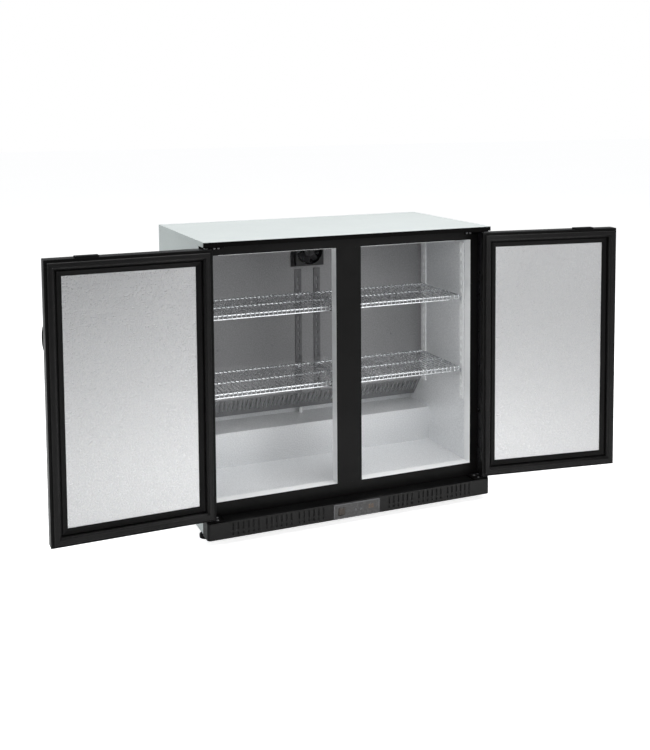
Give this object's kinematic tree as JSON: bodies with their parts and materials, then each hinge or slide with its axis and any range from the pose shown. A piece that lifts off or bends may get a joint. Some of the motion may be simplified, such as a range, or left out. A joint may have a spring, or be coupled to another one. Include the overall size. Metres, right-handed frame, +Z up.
{
  "type": "undercounter refrigerator",
  "caption": "Low refrigerated cabinet with solid hinged doors, wire shelves behind a slotted kick grille, a pale worktop and embossed aluminium door linings.",
  "frame": {"origin": "on the floor, under the middle of the whole outline with the doors open as modelled", "axes": "+Z up, +X to the right along the front, +Y from the doors to the back"},
  "size_m": [1.7468, 0.5757, 0.85],
  "materials": {
    "pale_steel": "pale satin powder coat",
    "black_steel": "black satin powder coat",
    "black_plastic": "black moulded plastic with a fine grain",
    "grey_plastic": "smoky grey moulding",
    "smoke_lens": "dark smoky lens",
    "white_plastic": "white extruded trim",
    "lamp_diffuser": "milky lamp cover",
    "stucco_aluminium": "embossed aluminium sheet",
    "liner_aluminium": "smooth coated aluminium liner",
    "cover_sheet": "grey coated sheet",
    "white_sheet": "white coated rail",
    "foam": "rigid polyurethane foam",
    "rubber_seal": "soft black PVC seal",
    "chrome_wire": "bright zinc-plated wire",
    "zinc_steel": "zinc-plated steel",
    "lock_chrome": "nickel-plated lock barrel",
    "copper_tube": "copper tube",
    "fin_stack": "thin aluminium fins on a tube",
    "compressor_black": "black enamelled shell",
    "bush_plastic": "natural nylon",
    "fan_plastic": "black moulded fan",
    "amber_switch": "amber rocker"
  },
  "bodies": {
    "cabinet": {"worktop": "pale_steel", "front_strip": "black_steel", "left_side_panel": "pale_steel", "right_side_panel": "pale_steel", "back_panel": "zinc_steel", "bottom_panel": "zinc_steel", "insulation_foam": "foam", "liner": "liner_aluminium", "face_frame": "black_plastic", "mullion": "black_plastic", "opening_trims": "white_plastic", "kick_grille": "black_plastic", "base_plate": "zinc_steel", "rear_grille": "black_steel", "control_housing": "grey_plastic", "control_window": "smoke_lens", "thermostat": "black_plastic", "hinge_plates": "black_steel", "hinge_pins": "zinc_steel", "hinge_screws": "zinc_steel", "levelling_feet": "black_plastic", "evaporator_cover": "cover_sheet", "evaporator_coil": "fin_stack", "evaporator_fan_frame": "fan_plastic", "drip_tray": "white_plastic", "led_lamp": "lamp_diffuser", "wall_pilasters": "white_sheet", "shelf_clips": "zinc_steel", "compressor": "compressor_black", "condenser": "fin_stack", "condenser_fan_motor": "zinc_steel", "refrigerant_pipes": "copper_tube", "mains_inlet": "black_plastic"},
    "left_door": {"left_door_outer_skin": "black_steel", "left_door_frame": "black_plastic", "left_door_foam": "foam", "left_door_inner_panel": "stucco_aluminium", "left_door_gasket": "rubber_seal", "left_door_handle": "black_plastic", "left_lock_housing": "black_plastic", "left_hinge_bushes": "bush_plastic"},
    "left_lock": {"left_lock_barrel": "lock_chrome"},
    "right_door": {"right_door_outer_skin": "black_steel", "right_door_frame": "black_plastic", "right_door_foam": "foam", "right_door_inner_panel": "stucco_aluminium", "right_door_gasket": "rubber_seal", "right_door_handle": "black_plastic", "right_lock_housing": "black_plastic", "right_hinge_bushes": "bush_plastic"},
    "right_lock": {"right_lock_barrel": "lock_chrome"},
    "left_upper_shelf": {"left_upper_shelf": "chrome_wire"},
    "left_lower_shelf": {"left_lower_shelf": "chrome_wire"},
    "right_upper_shelf": {"right_upper_shelf": "chrome_wire"},
    "right_lower_shelf": {"right_lower_shelf": "chrome_wire"},
    "up_button": {"up_button": "grey_plastic"},
    "down_button": {"down_button": "grey_plastic"},
    "power_switch": {"power_switch": "amber_switch"},
    "evaporator_fan_wheel": {"evaporator_fan_blade": "fan_plastic"},
    "condenser_fan_wheel": {"condenser_fan_blade": "zinc_steel"}
  },
  "joints": [
    {"name": "left_door_hinge", "type": "hinge", "parent": "cabinet", "child": "left_door", "pos_m": [-0.4382, -0.1943, 0.45], "axis": [0, 0, -1], "range_deg": [-178.97, 1.03]},
    {"name": "right_door_hinge", "type": "hinge", "parent": "cabinet", "child": "right_door", "pos_m": [0.4382, -0.1943, 0.45], "axis": [0, 0, 1], "range_deg": [-171.34, 8.66]},
    {"name": "left_lock_turn", "type": "hinge", "parent": "left_door", "child": "left_lock", "pos_m": [-0.76215, -0.20012, 0.812], "axis": [-0.018, 0.9998, 0], "range_deg": [0, 90]},
    {"name": "right_lock_turn", "type": "hinge", "parent": "right_door", "child": "right_lock", "pos_m": [0.75851, -0.24308, 0.812], "axis": [-0.1506, -0.9886, 0], "range_deg": [0, 90]},
    {"name": "left_upper_shelf_lift", "type": "slide", "parent": "cabinet", "child": "left_upper_shelf", "axis": [0, 0, 1], "range_m": [0, 0.1]},
    {"name": "left_lower_shelf_lift", "type": "slide", "parent": "cabinet", "child": "left_lower_shelf", "axis": [0, 0, 1], "range_m": [0, 0.1]},
    {"name": "right_upper_shelf_lift", "type": "slide", "parent": "cabinet", "child": "right_upper_shelf", "axis": [0, 0, 1], "range_m": [0, 0.1]},
    {"name": "right_lower_shelf_lift", "type": "slide", "parent": "cabinet", "child": "right_lower_shelf", "axis": [0, 0, 1], "range_m": [0, 0.1]},
    {"name": "up_button_press", "type": "slide", "parent": "cabinet", "child": "up_button", "axis": [0, 1, 0], "range_m": [0, 0.0012], "stiffness_N_per_m": 800},
    {"name": "down_button_press", "type": "slide", "parent": "cabinet", "child": "down_button", "axis": [0, 1, 0], "range_m": [0, 0.0012], "stiffness_N_per_m": 800},
    {"name": "power_switch_rock", "type": "hinge", "parent": "cabinet", "child": "power_switch", "pos_m": [-0.048, -0.209, 0.042], "axis": [1, 0, 0], "range_deg": [0, 14]},
    {"name": "evaporator_fan_spin", "type": "hinge", "parent": "cabinet", "child": "evaporator_fan_wheel", "pos_m": [0, 0.1495, 0.758], "axis": [0, 1, 0], "continuous": true},
    {"name": "condenser_fan_spin", "type": "hinge", "parent": "cabinet", "child": "condenser_fan_wheel", "pos_m": [0.21, 0.211, 0.103], "axis": [0, 1, 0], "continuous": true}
  ]
}
